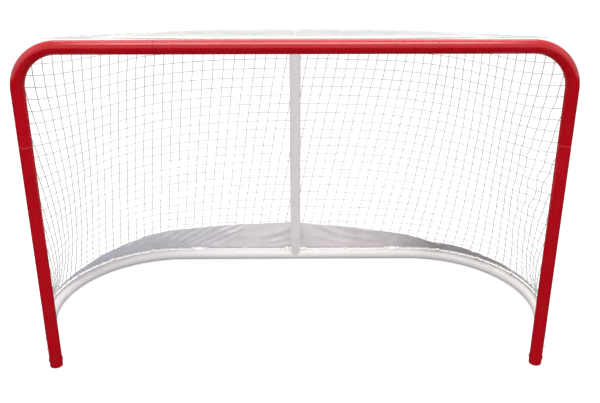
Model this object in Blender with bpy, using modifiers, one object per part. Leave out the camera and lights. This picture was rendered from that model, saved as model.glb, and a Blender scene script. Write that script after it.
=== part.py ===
"""A tubular steel hockey goal with a laced net, in metres, +Z up, the mouth facing -Y"""
import math

import bmesh
import bpy
from mathutils import Matrix, Vector

# Mouth and front frame
opening_width = 1.829
opening_height = 1.219
tube_radius = 0.024
tube_wall = 0.002
corner_bend = 0.145
crossbar_joint_x = 0.47
post_joint_height = 0.90

# Base frame, lying on the floor
base_depth = 0.925
base_splay = math.radians(20)
base_bend = 0.505
base_joint_setback = 0.054

# Top rail and centre post
rail_half_width = 0.645
rail_depth = 0.69
rail_bend = 0.55
rail_back_height = 1.1525

# Joints inside the tubes
fit_gap = 0.0003
sleeve_wall = 0.002
frame_sleeve_length = 0.16
base_sleeve_length = 0.09
spigot_length = 0.10
socket_reach = 0.058
socket_neck = 0.075
screw_setback = 0.032
plug_height = 0.030
plug_wall = 0.003
plug_flange = 0.002

# Screws
screw_radius = 0.003
screw_head_radius = 0.0055
screw_head_height = 0.0025
screw_crown_radius = 0.0033
screw_rim_height = 0.001
screw_length = 0.010

# Lacing wires welded to the tubes, and the cords that run along them
wire_radius = 0.003
wire_eye = 0.005
wire_period = 0.21
wire_ramp = 0.014
wire_end_clearance = 0.045
white_wire_angle = math.radians(45)
crossbar_wire_angle = math.radians(20)
cord_radius = 0.0015
cord_offset = 0.0058

# Net, with one drawn gap standing for three by three knotted ones
twine = 0.004
net_columns = 24
net_rows = 8
top_columns = 10
top_rows = 5
side_columns = 5
corner_columns = 4
top_net_setback = 0.06
net_turn_x = 0.06

# Skirt sewn to the inside of the net: its share of the full height at shares of the way round, as it hangs
skirt_tallest = 0.149
skirt_outline = ((0.15, 0.08), (0.24, 0.42), (0.31, 0.75), (0.40, 0.93), (0.49, 1.0),
                 (0.57, 0.84), (0.64, 0.60), (0.70, 0.30), (0.78, 0.16), (0.85, 0.08))
skirt_middle = 0.5
skirt_thickness = 0.0015
skirt_fold_depth = 0.012
skirt_folds = 15
skirt_fold_lean = 2
skirt_flat_half_width = 0.144
skirt_tuck = 0.0095
skirt_drop = 0.0035
skirt_columns = 44
skirt_rows = 4

# Facets
tube_resolution = 6
wire_resolution = 1
cord_resolution = 1
base_bend_steps = 9
rail_bend_steps = 7
corner_bend_steps = 6
net_corner_steps = 12
screw_sides = 10
cope_sides = 24
stop_spacing = 0.07
cutter_reach = 0.072

post_x = opening_width / 2 + tube_radius
crossbar_z = opening_height + tube_radius
base_z = tube_radius
tube_sides = 4 + 2 * tube_resolution
bore_radius = (tube_radius - tube_wall) * math.cos(math.pi / tube_sides)
sleeve_radius = bore_radius - fit_gap
cope_radius = tube_radius + fit_gap
wire_distance = tube_radius + wire_eye + wire_radius
wire_weld_distance = tube_radius + fit_gap + wire_radius
border_offset = wire_radius + fit_gap + twine / 2
cord_beside_wire = wire_radius + fit_gap + cord_radius
white_wire_out = wire_distance * math.cos(white_wire_angle)
white_wire_lift = wire_distance * math.sin(white_wire_angle)
rear_reach = white_wire_out + cord_beside_wire + cord_radius
front_y = -(base_depth + rear_reach - tube_radius) / 2
back_y = front_y + base_depth
rail_back_y = front_y + rail_depth
base_turn = math.radians(90) + base_splay
base_joint_x = (post_x + base_depth * math.tan(base_splay) - base_bend * math.tan(base_turn / 2)
                - base_joint_setback)
up = Vector((0, 0, 1))
right = Vector((1, 0, 0))
back = Vector((0, 1, 0))
rail_slope = Vector((0, rail_depth, rail_back_height - crossbar_z)).normalized()
rail_up = right.cross(rail_slope)


def clear_scene():
    for item in list(bpy.data.objects):
        bpy.data.objects.remove(item, do_unlink=True)


def new_collection(name):
    group = bpy.data.collections.new(name)
    bpy.context.scene.collection.children.link(group)
    return group


def new_material(name, colour, roughness, metallic):
    finish = bpy.data.materials.new(name)
    finish.use_nodes = True
    shader = finish.node_tree.nodes["Principled BSDF"]
    shader.inputs["Base Color"].default_value = (*colour, 1)
    shader.inputs["Roughness"].default_value = roughness
    shader.inputs["Metallic"].default_value = metallic
    finish.diffuse_color = (*colour, 1)
    return finish


def rounded_path(corners, radius, steps):
    """Straight runs joined by arcs of one radius"""
    points = [corners[0].copy()]
    for before, corner, after in zip(corners, corners[1:], corners[2:]):
        arrive = (corner - before).normalized()
        leave = (after - corner).normalized()
        turn = arrive.angle(leave)
        start = corner - arrive * radius * math.tan(turn / 2)
        centre = corner + (leave - arrive).normalized() * radius / math.cos(turn / 2)
        axis = arrive.cross(leave).normalized()
        for step in range(steps + 1):
            spin = Matrix.Rotation(turn * step / steps, 3, axis)
            points.append(centre + spin @ (start - centre))
    points.append(corners[-1].copy())
    return points


def path_length(path):
    return sum((end - start).length for start, end in zip(path, path[1:]))


def point_at(path, distance):
    """The place and direction at a distance along a path"""
    left = distance
    for start, end in zip(path, path[1:]):
        step = (end - start).length
        if left <= step or end is path[-1]:
            direction = (end - start) / step
            return start + direction * left, direction
        left -= step


def stretch(path, start, end):
    """The part of a path between two distances along it"""
    points = [point_at(path, start)[0]]
    travelled = 0
    for before, here in zip(path, path[1:]):
        travelled += (here - before).length
        if start + fit_gap < travelled < end - fit_gap:
            points.append(here.copy())
    points.append(point_at(path, end)[0])
    return points


def facing(place, direction):
    """The pose that puts an origin at a place and turns +Z into a direction"""
    return Matrix.Translation(place) @ direction.to_track_quat("Z", "Y").to_matrix().to_4x4()


def curve_object(name, points, radius, resolution, capped, group):
    data = bpy.data.curves.new(name, "CURVE")
    data.dimensions = "3D"
    data.bevel_depth = radius
    data.bevel_resolution = resolution
    data.use_fill_caps = capped
    data.render_resolution_u = 0
    spline = data.splines.new("POLY")
    spline.points.add(len(points) - 1)
    for target, point in zip(spline.points, points):
        target.co = (*point, 1)
    item = bpy.data.objects.new(name, data)
    group.objects.link(item)
    return item


def solid_wire(name, points, radius, resolution, finish):
    item = curve_object(name, points, radius, resolution, True, parts)
    item.data.materials.append(finish)
    return item


def mesh_object(name, data, finish):
    item = bpy.data.objects.new(name, data)
    data.materials.append(finish)
    parts.objects.link(item)
    return item


def hollow_tube(name, points, finish, radius=tube_radius, wall=tube_wall):
    """A tube along a path, as an open skin with its wall turned inwards"""
    guide = curve_object(name + "_guide", points, radius, tube_resolution, False, parts)
    bpy.context.view_layer.update()
    evaluated = guide.evaluated_get(bpy.context.evaluated_depsgraph_get())
    skin = bpy.data.meshes.new_from_object(evaluated)
    bpy.data.objects.remove(guide, do_unlink=True)
    skin.shade_smooth()
    item = mesh_object(name, skin, finish)
    thicken = item.modifiers.new("Wall", "SOLIDIFY")
    thicken.thickness = wall
    thicken.offset = -1
    thicken.use_even_offset = True
    return item


def round_cutter(name, start, end, radius, sides):
    """A cylinder between two points, kept for cutting"""
    run = end - start
    form = bmesh.new()
    bmesh.ops.create_cone(form, cap_ends=True, segments=sides, radius1=radius, radius2=radius,
                          depth=run.length)
    data = bpy.data.meshes.new(name)
    form.to_mesh(data)
    form.free()
    item = bpy.data.objects.new(name, data)
    item.matrix_world = facing((start + end) / 2, run)
    item.hide_render = True
    item.display_type = "WIRE"
    cutters.objects.link(item)
    return item


def cut(item, cutter):
    step = item.modifiers.new("Cut " + cutter.name, "BOOLEAN")
    step.operation = "DIFFERENCE"
    step.solver = "EXACT"
    step.object = cutter


def cope(item, axis_point, axis):
    """Shape the end of a tube to the round side of the tube that it meets"""
    reach = axis * cutter_reach
    radius = cope_radius / math.cos(math.pi / cope_sides)
    cut(item, round_cutter(item.name + "_cope", axis_point - reach, axis_point + reach, radius, cope_sides))


def turned(name, profile, steps, finish):
    """A solid turned about Z from a profile of radius and height"""
    data = bpy.data.meshes.new(name)
    edges = [(index, index + 1) for index in range(len(profile) - 1)]
    data.from_pydata([(radius, 0, height) for radius, height in profile], edges, [])
    item = mesh_object(name, data, finish)
    spin = item.modifiers.new("Turn", "SCREW")
    spin.steps = steps
    spin.render_steps = steps
    spin.use_merge_vertices = True
    spin.merge_threshold = 0.0001
    return item


def screw(name, axis_point, outward, holed):
    """A pan head screw through the wall of a tube into what lies inside it"""
    profile = [(0, screw_head_height), (screw_crown_radius, screw_head_height),
               (screw_head_radius, screw_rim_height), (screw_head_radius, 0),
               (screw_radius, 0), (screw_radius, -screw_length), (0, -screw_length)]
    item = turned(name, profile, screw_sides, zinc)
    item.matrix_world = facing(axis_point + outward * cope_radius, outward)
    tip = axis_point + outward * (tube_radius - screw_length - tube_wall)
    outside = axis_point + outward * (cope_radius + screw_head_height)
    hole = round_cutter(name + "_hole", tip, outside,
                        (screw_radius + fit_gap) / math.cos(math.pi / screw_sides), screw_sides)
    for piece in holed:
        cut(piece, hole)


def ring_sleeve(name, centre, direction, length, finish):
    reach = direction * length / 2
    return hollow_tube(name, [centre - reach, centre + reach], finish, sleeve_radius, sleeve_wall)


def offset_point(path, distance, plane_up, side, outward, upward):
    """A point beside a tube: so far outward from the goal, and so far up"""
    point, direction = point_at(path, distance)
    out = direction.cross(plane_up).normalized() * side
    return point + out * outward + plane_up * upward


def offset_run(path, start, end, plane_up, side, outward, upward):
    count = max(2, round((end - start) / stop_spacing))
    return [offset_point(path, start + (end - start) * step / count, plane_up, side, outward, upward)
            for step in range(count + 1)]


def wire_stops(start, end):
    """Distances along a wire, and how far it stands off at each: it dips to its welds"""
    dips = max(1, round((end - start) / wire_period))
    spacing = (end - start) / dips
    stops = [(start, wire_weld_distance)]
    for index in range(dips):
        weld = start + spacing * index
        stops.append((weld + wire_ramp, wire_distance))
        stops.append((weld + spacing / 2, wire_distance))
        stops.append((weld + spacing - wire_ramp, wire_distance))
        stops.append((weld + spacing, wire_weld_distance))
    return stops


def lacing_wire(name, path, start, end, plane_up, side, angle, finish):
    """A wire that stands off a tube and dips to be welded to it at even distances"""
    points = [offset_point(path, distance, plane_up, side, lift * math.cos(angle), lift * math.sin(angle))
              for distance, lift in wire_stops(start, end)]
    return solid_wire(name, points, wire_radius, wire_resolution, finish)


def build_front_frame():
    centre = Vector((0, front_y, crossbar_z))
    reach = right * (crossbar_joint_x - fit_gap / 2)
    crossbar = hollow_tube("crossbar_tube", [centre - reach, centre + reach], red)
    wire_end = crossbar_joint_x - screw_setback - wire_end_clearance
    crossbar_path = [centre - right * wire_end, centre + right * wire_end]
    lacing_wire("crossbar_lacing_wire", crossbar_path, 0, wire_end * 2, up, -1, crossbar_wire_angle, red)
    for side, word in ((-1, "left"), (1, "right")):
        joint = Vector((side * crossbar_joint_x, front_y, crossbar_z))
        corner = Vector((side * post_x, front_y, crossbar_z))
        low_joint = Vector((side * post_x, front_y, post_joint_height))
        bend = rounded_path([joint + right * side * fit_gap / 2, corner, low_joint + up * fit_gap / 2],
                            corner_bend, corner_bend_steps)
        corner_tube = hollow_tube("corner_tube_" + word, bend, red)
        foot = Vector((side * post_x, front_y, plug_flange + fit_gap))
        post = hollow_tube("post_tube_" + word, [foot, low_joint - up * fit_gap / 2], red)

        sleeve = ring_sleeve("crossbar_sleeve_" + word, joint, right, frame_sleeve_length, zinc)
        screw("crossbar_screw_" + word, joint - right * side * screw_setback, back, [crossbar, sleeve])
        sleeve = ring_sleeve("post_sleeve_" + word, low_joint, up, frame_sleeve_length, zinc)
        screw("post_screw_" + word, low_joint - up * screw_setback, back, [post, sleeve])

        total = path_length(bend)
        start = rail_half_width + tube_radius - crossbar_joint_x + wire_ramp
        end = total - wire_end_clearance
        lacing_wire("corner_lacing_wire_" + word, bend, start, end, back, 1, math.radians(90), red)
        run = [foot, low_joint]
        low = base_z + tube_radius + wire_end_clearance
        high = post_joint_height - screw_setback - wire_end_clearance
        lacing_wire("post_lacing_wire_" + word, run, low, high, back, 1, math.radians(90), red)
        foot_plug(word, Vector((side * post_x, front_y, 0)))


def foot_plug(word, place):
    """A cup pressed into the open end of a post, with a rim that stands on the floor"""
    inner = sleeve_radius - plug_wall
    profile = [(inner, plug_height), (sleeve_radius, plug_height), (sleeve_radius, plug_flange),
               (tube_radius, plug_flange), (tube_radius, 0), (0, 0), (0, plug_wall),
               (inner, plug_wall), (inner, plug_height)]
    item = turned("foot_plug_" + word, profile, tube_sides, rubber)
    item.location = place


def base_half_path(side):
    foot = Vector((side * post_x, front_y, base_z))
    bend_corner = Vector((side * (post_x + base_depth * math.tan(base_splay)), back_y, base_z))
    centre = Vector((0, back_y, base_z))
    return rounded_path([foot, bend_corner, centre], base_bend, base_bend_steps)


def build_base():
    centre = Vector((0, back_y, base_z))
    reach = right * (base_joint_x - fit_gap / 2)
    back_tube = hollow_tube("base_back_tube", [centre - reach, centre + reach], white)
    for side, word in ((-1, "left"), (1, "right")):
        path = base_half_path(side)
        total = path_length(path)
        joint_distance = total - base_joint_x
        side_tube = hollow_tube("base_side_tube_" + word,
                                stretch(path, socket_reach + fit_gap, joint_distance - fit_gap / 2), white)
        foot, direction = point_at(path, 0)
        socket = socket_stub(word, foot, direction)
        cope(socket, foot, up)
        outward = direction.cross(up).normalized() * side
        screw_place = point_at(path, socket_reach + socket_neck / 2)[0]
        screw("base_foot_screw_" + word, screw_place, outward, [side_tube, socket])

        joint = Vector((side * base_joint_x, back_y, base_z))
        sleeve = ring_sleeve("base_sleeve_" + word, joint, right, base_sleeve_length, zinc)
        screw("base_back_screw_" + word, joint - right * side * screw_setback, back, [back_tube, sleeve])

        start = socket_reach + wire_end_clearance
        lacing_wire("base_side_lacing_wire_" + word, path, start, joint_distance - wire_ramp,
                    up, side, white_wire_angle, white)
        start = joint_distance + screw_setback + wire_ramp
        lacing_wire("base_back_lacing_wire_" + word, path, start, total - wire_end_clearance,
                    up, side, white_wire_angle, white)


def socket_stub(word, foot, direction):
    """A collar as wide as the tube, with a neck that the base tube slides over"""
    neck_end = socket_reach + socket_neck
    inner = sleeve_radius - sleeve_wall
    profile = [(inner, neck_end), (sleeve_radius, neck_end), (sleeve_radius, socket_reach),
               (tube_radius, socket_reach), (tube_radius, 0), (inner, 0), (inner, neck_end)]
    item = turned("base_socket_" + word, profile, tube_sides, red)
    item.matrix_world = facing(foot, direction)
    return item


def rail_half_path(side):
    front = Vector((side * rail_half_width, front_y, crossbar_z))
    corner = Vector((side * rail_half_width, rail_back_y, rail_back_height))
    centre = Vector((0, rail_back_y, rail_back_height))
    return rounded_path([front, corner, centre], rail_bend, rail_bend_steps)


def build_rail():
    left_half = rail_half_path(-1)
    right_half = rail_half_path(1)
    whole = left_half[:-1] + list(reversed(right_half))[1:]
    rail = hollow_tube("rail_tube", whole, white)
    for side, word, half in ((-1, "left", left_half), (1, "right", right_half)):
        front = half[0]
        cope(rail, front, right)
        inside = [front, front + rail_slope * spigot_length]
        spigot = hollow_tube("rail_spigot_" + word, inside, red, sleeve_radius, sleeve_wall)
        cope(spigot, front, right)
        screw_place = front + rail_slope * (spigot_length - screw_setback)
        screw("rail_screw_" + word, screw_place, -rail_up, [rail, spigot])
        start = spigot_length - screw_setback
        end = path_length(half) - wire_ramp
        lacing_wire("rail_lacing_wire_" + word, half, start, end, rail_up, side, white_wire_angle, white)


def build_centre_post():
    low = Vector((0, back_y, base_z))
    high = Vector((0, rail_back_y, rail_back_height))
    lean = (high - low).normalized()
    post = hollow_tube("centre_post", [low, high], white)
    for end, inward, word in ((low, lean, "lower"), (high, -lean, "upper")):
        cope(post, end, right)
        run = [end, end + inward * (tube_radius + spigot_length)]
        spigot = hollow_tube("centre_post_spigot_" + word, run, white, sleeve_radius, sleeve_wall)
        cope(spigot, end, right)
        screw_place = end + inward * (tube_radius + spigot_length - screw_setback)
        screw("centre_post_screw_" + word, screw_place, right, [post, spigot])


def net_borders():
    """The outline of the wraparound net: its top edge, bottom edge and two front edges"""
    side_out = white_wire_out + border_offset
    post_back = Vector((0, wire_distance + border_offset, 0))
    halves = {}
    for side in (-1, 1):
        bend = rounded_path([Vector((0, front_y, crossbar_z)), Vector((side * post_x, front_y, crossbar_z)),
                             Vector((side * post_x, front_y, 0))], corner_bend, net_corner_steps)
        bend_middle = post_x - corner_bend + corner_bend * math.pi / 4
        crossbar_end = rail_half_width + net_turn_x
        along_bar = [point + post_back for point in stretch(bend, crossbar_end, bend_middle)]
        rail = rail_half_path(side)
        column_step = 2 * (path_length(rail) + post_x - rail_half_width) / net_columns
        chord_room = column_step ** 2 * (rail_bend + side_out) / (8 * rail_bend ** 2) + fit_gap
        along_rail = offset_run(rail, top_net_setback, path_length(rail), rail_up, side,
                                side_out + chord_room, white_wire_lift)
        top = list(reversed(along_bar)) + along_rail

        base = base_half_path(side)
        base_lift = white_wire_lift + border_offset
        base_start = socket_reach + wire_end_clearance
        along_base = offset_run(base, base_start, path_length(base), up, side, white_wire_out, base_lift)
        foot = Vector((side * post_x, front_y, base_z + base_lift)) + post_back
        bottom = [foot] + along_base

        post_end = path_length(bend) - (base_z + base_lift)
        front = [point + post_back for point in stretch(bend, bend_middle, post_end)]
        halves[side] = (top, bottom, front)
    top = halves[-1][0][:-1] + list(reversed(halves[1][0]))
    bottom = halves[-1][1][:-1] + list(reversed(halves[1][1]))
    return top, bottom, halves[-1][2], halves[1][2]


def patch_point(edges, across, down):
    """A point of the smooth sheet that four edges span"""
    top, bottom, left, right_edge = edges
    on_top = point_at(top, across * path_length(top))[0]
    on_bottom = point_at(bottom, across * path_length(bottom))[0]
    on_left = point_at(left, down * path_length(left))[0]
    on_right = point_at(right_edge, down * path_length(right_edge))[0]
    ruled = on_top * (1 - down) + on_bottom * down + on_left * (1 - across) + on_right * across
    corners = (top[0] * (1 - across) * (1 - down) + top[-1] * across * (1 - down)
               + bottom[0] * (1 - across) * down + bottom[-1] * across * down)
    return ruled - corners


def strand_point(edges, across, down):
    """A point of the sheet as its straight strands span it"""
    column = min(int(across * net_columns), net_columns - 1)
    row = min(int(down * net_rows), net_rows - 1)
    sideways = across * net_columns - column
    downward = down * net_rows - row
    corner = [[patch_point(edges, (column + step) / net_columns, (row + fall) / net_rows)
               for step in (0, 1)] for fall in (0, 1)]
    above = corner[0][0].lerp(corner[0][1], sideways)
    below = corner[1][0].lerp(corner[1][1], sideways)
    return above.lerp(below, downward)


def grid_mesh(name, columns, rows, place):
    """A sheet of quads whose corners a function places"""
    form = bmesh.new()
    corners = [[form.verts.new(place(column, row)) for column in range(columns + 1)]
               for row in range(rows + 1)]
    for row in range(rows):
        for column in range(columns):
            form.faces.new((corners[row][column], corners[row + 1][column],
                            corners[row + 1][column + 1], corners[row][column + 1]))
    data = bpy.data.meshes.new(name)
    form.to_mesh(data)
    form.free()
    return data


def twine_sheet(name, data):
    item = mesh_object(name, data, cord_white)
    strands = item.modifiers.new("Twine", "WIREFRAME")
    strands.thickness = twine
    strands.offset = 0
    strands.use_even_offset = False
    strands.use_boundary = True
    return item


def build_net():
    edges = net_borders()
    seam = (twine / 2 + fit_gap) / path_length(edges[0])
    panels = [("net_side_left", 0, side_columns),
              ("net_corner_left", side_columns, side_columns + corner_columns),
              ("net_back", side_columns + corner_columns, net_columns - side_columns - corner_columns),
              ("net_corner_right", net_columns - side_columns - corner_columns, net_columns - side_columns),
              ("net_side_right", net_columns - side_columns, net_columns)]
    for name, first, last in panels:
        low = first / net_columns + (seam if first else 0)
        high = last / net_columns - (seam if last < net_columns else 0)
        columns = last - first
        data = grid_mesh(name, columns, net_rows, lambda column, row: patch_point(
            edges, low + (high - low) * column / columns, row / net_rows))
        twine_sheet(name, data)
    top_edges = top_net_borders()
    data = grid_mesh("net_top", top_columns, top_rows, lambda column, row: patch_point(
        top_edges, column / top_columns, 1 - row / top_rows))
    twine_sheet("net_top", data)


def top_net_borders():
    """The outline of the flat net on top: front edge, back edge and two sides"""
    lift = white_wire_lift + border_offset
    front_back = wire_distance * math.cos(crossbar_wire_angle)
    front_lift = wire_distance * math.sin(crossbar_wire_angle) + border_offset
    bar_end = rail_half_width - net_turn_x
    side_runs = {}
    back_runs = {}
    for side in (-1, 1):
        rail = rail_half_path(side)
        turn = path_length(rail) - (rail_half_width - rail_bend) - rail_bend * math.pi / 4
        side_runs[side] = offset_run(rail, top_net_setback, turn, rail_up, side, white_wire_out, lift)
        back_runs[side] = offset_run(rail, turn, path_length(rail), rail_up, side, white_wire_out, lift)
    over_rail = rail_up * lift + rail_slope * top_net_setback
    bar = Vector((0, front_y + front_back, crossbar_z + front_lift))
    front_edge = [side_runs[-1][0],
                  Vector((-rail_half_width + tube_radius, front_y, crossbar_z)) + over_rail,
                  bar - right * bar_end, bar + right * bar_end,
                  Vector((rail_half_width - tube_radius, front_y, crossbar_z)) + over_rail,
                  side_runs[1][0]]
    back_edge = back_runs[-1][:-1] + list(reversed(back_runs[1]))
    return front_edge, back_edge, side_runs[-1], side_runs[1]


def skirt_share(across):
    """The skirt's share of its full height at a share of the way round"""
    for (before, low), (after, high) in zip(skirt_outline, skirt_outline[1:]):
        if across <= after:
            share = (across - before) / (after - before)
            return low + (high - low) * share * share * (3 - 2 * share)
    return skirt_outline[-1][1]


def build_skirt():
    """A cloth band on the inside of the net, tallest at the back and gone at its two ends"""
    edges = net_borders()
    length = path_length(edges[1])
    hang = (twine + skirt_thickness) / 2 + fit_gap
    first, last = skirt_outline[0][0], skirt_outline[-1][0]
    step = 1 / net_columns

    def place(column, row):
        across = first + (last - first) * column / skirt_columns
        rise = row / skirt_rows
        foot = patch_point(edges, across, 1)
        head = patch_point(edges, across, 0)
        net_height = head.z - foot.z
        down = 1 - (hang * 2 + skirt_tallest * skirt_share(across) * (1 - rise)) / net_height
        point = strand_point(edges, across, down)
        sideways = patch_point(edges, across + step, 1) - patch_point(edges, across - step, 1)
        inward = sideways.cross(up).normalized()
        from_centre = min(1, abs(across - skirt_middle) * length / skirt_flat_half_width)
        turn = 2 * math.pi * skirt_folds * column / skirt_columns - rise * skirt_fold_lean
        wave = (1 + math.sin(turn)) / 2
        swell = math.sin(math.pi * rise) * from_centre * skirt_share(across)
        if row == skirt_rows and abs(foot.x) > base_joint_x:
            return foot + inward * skirt_tuck - up * skirt_drop
        return point + inward * (hang + skirt_fold_depth * wave * swell)

    data = grid_mesh("skirt", skirt_columns, skirt_rows, place)
    item = mesh_object("skirt", data, cloth)
    thicken = item.modifiers.new("Cloth", "SOLIDIFY")
    thicken.thickness = skirt_thickness
    thicken.offset = 0
    thicken.use_even_offset = False


def base_cord_half(side):
    """One half of the cord along the base: it lies beside the wires, straight across their dips"""
    path = base_half_path(side)
    total = path_length(path)
    joint_distance = total - base_joint_x
    stops = wire_stops(socket_reach + wire_end_clearance, joint_distance - wire_ramp)
    stops += wire_stops(joint_distance + screw_setback + wire_ramp, total - wire_end_clearance)
    return [offset_point(path, distance, up, side, white_wire_out + cord_beside_wire, white_wire_lift)
            for distance, lift in stops if lift == wire_distance]


def build_lacing():
    """The plain runs of the cords that lace the net to the wires"""
    base_points = base_cord_half(-1) + list(reversed(base_cord_half(1)))
    solid_wire("base_lacing", base_points, cord_radius, cord_resolution, cord_white)
    left_run, right_run = (
        offset_run(half, spigot_length, path_length(half), rail_up, side,
                   white_wire_out + cord_offset, white_wire_lift + cord_offset)
        for side, half in ((-1, rail_half_path(-1)), (1, rail_half_path(1))))
    rail_points = left_run[:-1] + list(reversed(right_run))
    solid_wire("rail_lacing", rail_points, cord_radius, cord_resolution, cord_white)
    bar_end = crossbar_joint_x - screw_setback - wire_end_clearance
    outward = wire_distance * math.cos(crossbar_wire_angle) + cord_beside_wire
    bar = Vector((0, front_y + outward, crossbar_z + wire_distance * math.sin(crossbar_wire_angle)))
    solid_wire("crossbar_lacing", [bar - right * bar_end, bar + right * bar_end],
               cord_radius, cord_resolution, cord_white)
    for side, word in ((-1, "left"), (1, "right")):
        low = base_z + tube_radius + wire_end_clearance
        high = post_joint_height - screw_setback - wire_end_clearance
        place = Vector((side * (post_x + cord_beside_wire), front_y + wire_distance, 0))
        solid_wire("post_lacing_" + word, [place + up * low, place + up * high],
                   cord_radius, cord_resolution, cord_white)


clear_scene()
parts = new_collection("hockey_goal")
cutters = new_collection("cutters")
red = new_material("red paint", (0.45, 0.004, 0.012), 0.35, 0)
white = new_material("white paint", (0.85, 0.85, 0.84), 0.4, 0)
zinc = new_material("zinc plated steel", (0.6, 0.6, 0.6), 0.35, 1)
rubber = new_material("black plastic", (0.02, 0.02, 0.02), 0.6, 0)
cord_white = new_material("white twine", (0.86, 0.86, 0.84), 0.9, 0)
cloth = new_material("white cloth", (0.8, 0.8, 0.82), 0.85, 0)
build_front_frame()
build_base()
build_rail()
build_centre_post()
build_net()
build_skirt()
build_lacing()
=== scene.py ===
import math
from bisect import bisect_right

import bmesh
import bpy
from mathutils import Matrix, Vector, noise


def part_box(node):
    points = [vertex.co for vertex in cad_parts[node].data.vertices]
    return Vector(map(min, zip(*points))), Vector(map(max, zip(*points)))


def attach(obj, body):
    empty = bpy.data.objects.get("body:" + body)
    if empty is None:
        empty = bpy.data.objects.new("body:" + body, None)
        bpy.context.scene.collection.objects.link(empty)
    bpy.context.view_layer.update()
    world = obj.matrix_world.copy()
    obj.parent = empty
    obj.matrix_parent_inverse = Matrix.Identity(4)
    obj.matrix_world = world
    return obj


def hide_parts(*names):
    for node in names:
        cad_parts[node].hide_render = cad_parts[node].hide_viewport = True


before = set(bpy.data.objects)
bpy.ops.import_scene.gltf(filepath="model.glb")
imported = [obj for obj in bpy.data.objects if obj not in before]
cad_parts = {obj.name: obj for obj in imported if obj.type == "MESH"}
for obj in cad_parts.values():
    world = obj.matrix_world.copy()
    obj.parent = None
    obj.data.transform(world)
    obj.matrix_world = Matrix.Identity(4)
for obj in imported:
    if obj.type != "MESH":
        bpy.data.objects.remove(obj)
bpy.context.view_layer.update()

twineSeed = 7
noise.seed_set(twineSeed)  # the net's unevenness is the same each run
up = Vector((0, 0, 1))
right = Vector((1, 0, 0))
back = Vector((0, 1, 0))
barLow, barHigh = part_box("crossbar_tube")
frontY = (barLow.y + barHigh.y) / 2

tube = {"radius": 0.024, "wall": 0.002, "sides": 48, "edge": 0.0005, "gap": 0.0003}
front = {"postX": 0.9385, "barZ": 1.243, "bend": 0.145, "barSeam": 0.47, "postSeam": 0.90, "foot": 0.0023,
         "steps": 20}
base = {"depth": 0.925, "splay": math.radians(20), "bend": 0.505, "setback": 0.054, "socket": 0.058,
        "cope": 0.01, "steps": 40}
rail = {"halfWidth": 0.645, "depth": 0.69, "bend": 0.55, "backZ": 1.1525, "steps": 32, "spigot": 0.10}
wire = {"radius": 0.003, "eye": 0.005, "period": 0.21, "ramp": 0.014, "clear": 0.045, "setback": 0.032,
        "rise": math.radians(45), "barRise": math.radians(20), "drop": 0.0036, "dropSink": 0.0026}
sides = ((-1, "left", "Left"), (1, "right", "Right"))

baseTurn = math.radians(90) + base["splay"]
baseCornerX = front["postX"] + base["depth"] * math.tan(base["splay"])
baseSeam = baseCornerX - base["bend"] * math.tan(baseTurn / 2) - base["setback"]
railSlope = Vector((0, rail["depth"], rail["backZ"] - front["barZ"])).normalized()
railUp = right.cross(railSlope)
wireOff = tube["radius"] + wire["eye"] + wire["radius"]
weldOff = tube["radius"] + tube["gap"] + wire["radius"]
whiteOut = wireOff * math.cos(wire["rise"])


# Materials

def blankMaterial(name):
    item = bpy.data.materials.new(name)
    item.use_nodes = True
    tree = item.node_tree
    return item, tree, tree.nodes["Principled BSDF"], tree.nodes.new("ShaderNodeTexCoord")


def addNoise(tree, source, scale, detail=3.0, rough=0.55):
    node = tree.nodes.new("ShaderNodeTexNoise")
    node.inputs["Scale"].default_value = scale
    node.inputs["Detail"].default_value = detail
    node.inputs["Roughness"].default_value = rough
    tree.links.new(source, node.inputs["Vector"])
    return node.outputs["Fac"]


def addRamp(tree, source, stops):
    node = tree.nodes.new("ShaderNodeValToRGB")
    ramp = node.color_ramp
    for index, (place, colour) in enumerate(stops):
        stop = ramp.elements[index] if index < 2 else ramp.elements.new(place)
        stop.position = place
        stop.color = (*colour, 1) if len(colour) == 3 else (colour[0],) * 3 + (1,)
    tree.links.new(source, node.inputs["Fac"])
    return node.outputs["Color"]


def addMix(tree, amount, one, two, blend="MIX"):
    node = tree.nodes.new("ShaderNodeMix")
    node.data_type = "RGBA"
    node.blend_type = blend
    if isinstance(amount, float):
        node.inputs["Factor"].default_value = amount
    else:
        tree.links.new(amount, node.inputs["Factor"])
    tree.links.new(one, node.inputs["A"])
    if isinstance(two, tuple):
        node.inputs["B"].default_value = (*two, 1)
    else:
        tree.links.new(two, node.inputs["B"])
    return node.outputs["Result"]


def addMath(tree, operation, source, *others):
    node = tree.nodes.new("ShaderNodeMath")
    node.operation = operation
    tree.links.new(source, node.inputs[0])
    for place, other in enumerate(others, 1):
        if isinstance(other, float):
            node.inputs[place].default_value = other
        else:
            tree.links.new(other, node.inputs[place])
    return node.outputs[0]


def addRange(tree, source, old, new):
    node = tree.nodes.new("ShaderNodeMapRange")
    for socket, value in zip(("From Min", "From Max", "To Min", "To Max"), old + new):
        node.inputs[socket].default_value = value
    tree.links.new(source, node.inputs["Value"])
    return node.outputs["Result"]


def seenBy(tree, *kinds):
    rays = tree.nodes.new("ShaderNodeLightPath")
    seen = rays.outputs[kinds[0]]
    for kind in kinds[1:]:
        seen = addMath(tree, "MAXIMUM", seen, rays.outputs[kind])
    return seen


def objectAxis(tree, place, axis):
    parts = tree.nodes.new("ShaderNodeSeparateXYZ")
    tree.links.new(place, parts.inputs["Vector"])
    return parts.outputs[axis]


def addBump(tree, shader, source, strength, distance):
    node = tree.nodes.new("ShaderNodeBump")
    node.inputs["Strength"].default_value = strength
    node.inputs["Distance"].default_value = distance
    tree.links.new(source, node.inputs["Height"])
    tree.links.new(node.outputs["Normal"], shader.inputs["Normal"])


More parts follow.
